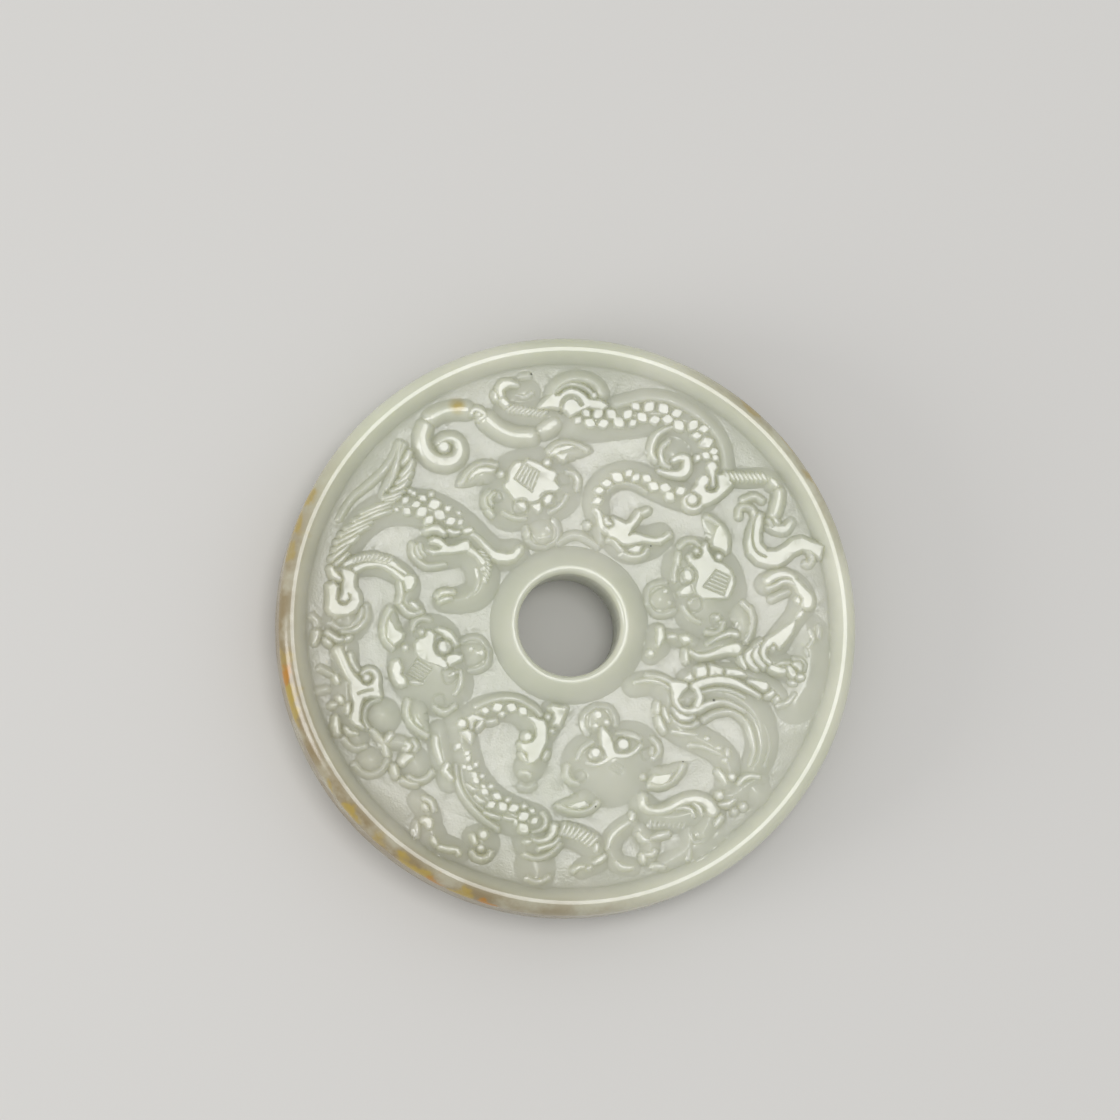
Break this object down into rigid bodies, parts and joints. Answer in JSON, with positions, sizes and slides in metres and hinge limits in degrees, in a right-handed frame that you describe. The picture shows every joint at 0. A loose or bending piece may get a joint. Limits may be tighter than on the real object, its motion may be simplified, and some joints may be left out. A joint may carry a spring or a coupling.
{
  "type": "carved jade disc pendant",
  "caption": "Round stone pendant with a plain back, a raised lip and collar, a round hole for a cord and a carved face of beast masks and dragons.",
  "frame": {"origin": "middle of the flat back, on the axis of the hole", "axes": "+Z along the hole, out of the carved face; the top dragon's mask looks roughly towards +Y"},
  "size_m": [0.056, 0.056, 0.007],
  "materials": {
    "jade": "polished on the raised carving, fine matte on the sunk ground"
  },
  "bodies": {
    "root": {"carved_disc": "jade"}
  },
  "joints": []
}
